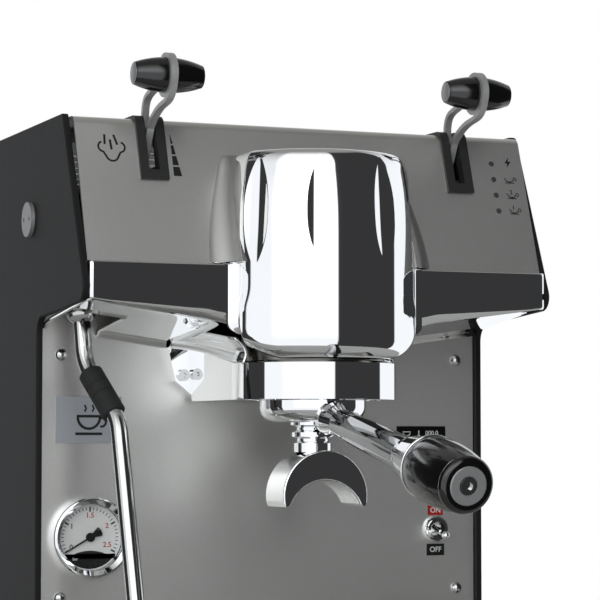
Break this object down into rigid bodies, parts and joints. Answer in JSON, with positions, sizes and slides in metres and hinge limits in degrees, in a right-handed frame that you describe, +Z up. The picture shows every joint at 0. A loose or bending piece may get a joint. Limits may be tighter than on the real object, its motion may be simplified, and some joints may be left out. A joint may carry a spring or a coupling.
{
  "type": "espresso machine",
  "caption": "Compact single-group espresso machine with chromed group, lever controls, portafilter, swivelling steam wand and sliding drip tray.",
  "frame": {"origin": "on the worktop, under the centre of the machine box", "axes": "+X to the right of a person facing the machine, +Y towards its back, +Z up"},
  "size_m": [0.2844, 0.5884, 0.422],
  "materials": {
    "black_steel": "matt black powder coat",
    "satin_steel": "fine satin stainless steel",
    "polished_steel": "polished stainless steel",
    "chrome": "bright chrome plate",
    "matt_plastic": "moulded, fine grain",
    "gloss_plastic": "moulded, polished",
    "rubber": "moulded rubber",
    "brass": "turned brass",
    "grey_aluminium": "satin anodised",
    "dial_paint": "printed dial",
    "pointer_paint": "black lacquer",
    "glass": "clear flat glass",
    "lamp_lens": "clear dark lens",
    "label_plastic": "printed label"
  },
  "bodies": {
    "machine": {"side_panel_left": "black_steel", "side_panel_right": "black_steel", "side_discs": "polished_steel", "fascia": "satin_steel", "top_cover": "satin_steel", "front_panel": "satin_steel", "back_panel": "black_steel", "panel_screws": "polished_steel", "base_frame": "black_steel", "feet": "rubber", "lever_bezel_left": "matt_plastic", "lever_bezel_right": "matt_plastic", "lever_brackets": "satin_steel", "status_lamps": "lamp_lens", "group_cover": "chrome", "lower_fairing": "chrome", "group_arm": "chrome", "group_arm_screws": "polished_steel", "bayonet_ring": "brass", "group_boiler": "brass", "group_gasket": "rubber", "shower_screen": "polished_steel", "wand_socket": "matt_plastic", "name_plate": "grey_aluminium", "gauge_case": "black_steel", "gauge_bezel": "chrome", "gauge_dial": "dial_paint", "gauge_glass": "glass", "display_window": "gloss_plastic", "switch_body": "polished_steel", "switch_nut": "chrome", "switch_labels": "label_plastic", "steam_boiler": "satin_steel", "steam_valve": "brass", "pump_unit": "black_steel", "control_box": "matt_plastic", "mains_inlet": "matt_plastic", "water_inlet": "brass"},
    "steam_lever": {"steam_lever": "satin_steel", "steam_lever_knob": "gloss_plastic"},
    "brew_lever": {"brew_lever": "satin_steel", "brew_lever_knob": "gloss_plastic"},
    "portafilter": {"portafilter_cup": "chrome", "filter_basket": "polished_steel", "spout_nut": "chrome", "portafilter_spout": "chrome", "handle_neck": "chrome", "handle_ferrule": "chrome", "handle_grip": "gloss_plastic", "handle_end_disc": "grey_aluminium", "handle_screw": "polished_steel"},
    "wand_ball": {"wand_ball": "polished_steel"},
    "steam_wand": {"steam_wand": "polished_steel", "wand_grip": "rubber", "wand_tip": "polished_steel"},
    "gauge_pointer": {"gauge_pointer": "pointer_paint"},
    "switch_lever": {"switch_lever": "chrome"},
    "drip_tray": {"drip_tray": "satin_steel"},
    "drip_grille": {"drip_grille": "satin_steel"},
    "cup_tray": {"cup_tray": "satin_steel"}
  },
  "joints": [
    {"name": "steam_lever_turn", "type": "hinge", "parent": "machine", "child": "steam_lever", "pos_m": [-0.0931, -0.0659, 0.356], "axis": [1, 0, 0], "range_deg": [0, 28]},
    {"name": "brew_lever_turn", "type": "hinge", "parent": "machine", "child": "brew_lever", "pos_m": [0.0931, -0.0659, 0.356], "axis": [1, 0, 0], "range_deg": [0, 28]},
    {"name": "portafilter_turn", "type": "hinge", "parent": "machine", "child": "portafilter", "pos_m": [0, -0.0969, 0.24], "axis": [0, 0, 1], "range_deg": [-45, 0]},
    {"name": "wand_swing", "type": "hinge", "parent": "machine", "child": "wand_ball", "pos_m": [-0.121, -0.0509, 0.285], "axis": [0, 1, 0], "range_deg": [-12, 22]},
    {"name": "wand_tilt", "type": "hinge", "parent": "wand_ball", "child": "steam_wand", "pos_m": [-0.121, -0.0509, 0.285], "axis": [1, 0, 0], "range_deg": [-18, 12]},
    {"name": "gauge_needle", "type": "hinge", "parent": "machine", "child": "gauge_pointer", "pos_m": [-0.1067, -0.0239, 0.1575], "axis": [0, 1, 0], "range_deg": [0, 240], "stiffness_Nm_per_rad": 0.0004},
    {"name": "switch_toggle", "type": "hinge", "parent": "machine", "child": "switch_lever", "pos_m": [0.1106, -0.0254, 0.1593], "axis": [1, 0, 0], "range_deg": [-30, 0]},
    {"name": "drip_tray_slide", "type": "slide", "parent": "machine", "child": "drip_tray", "axis": [0, -1, 0], "range_m": [0, 0.14]},
    {"name": "drip_grille_lift", "type": "slide", "parent": "drip_tray", "child": "drip_grille", "axis": [0, 0, 1], "range_m": [0, 0.012]},
    {"name": "cup_tray_lift", "type": "slide", "parent": "machine", "child": "cup_tray", "axis": [0, 0, 1], "range_m": [0, 0.04]}
  ]
}
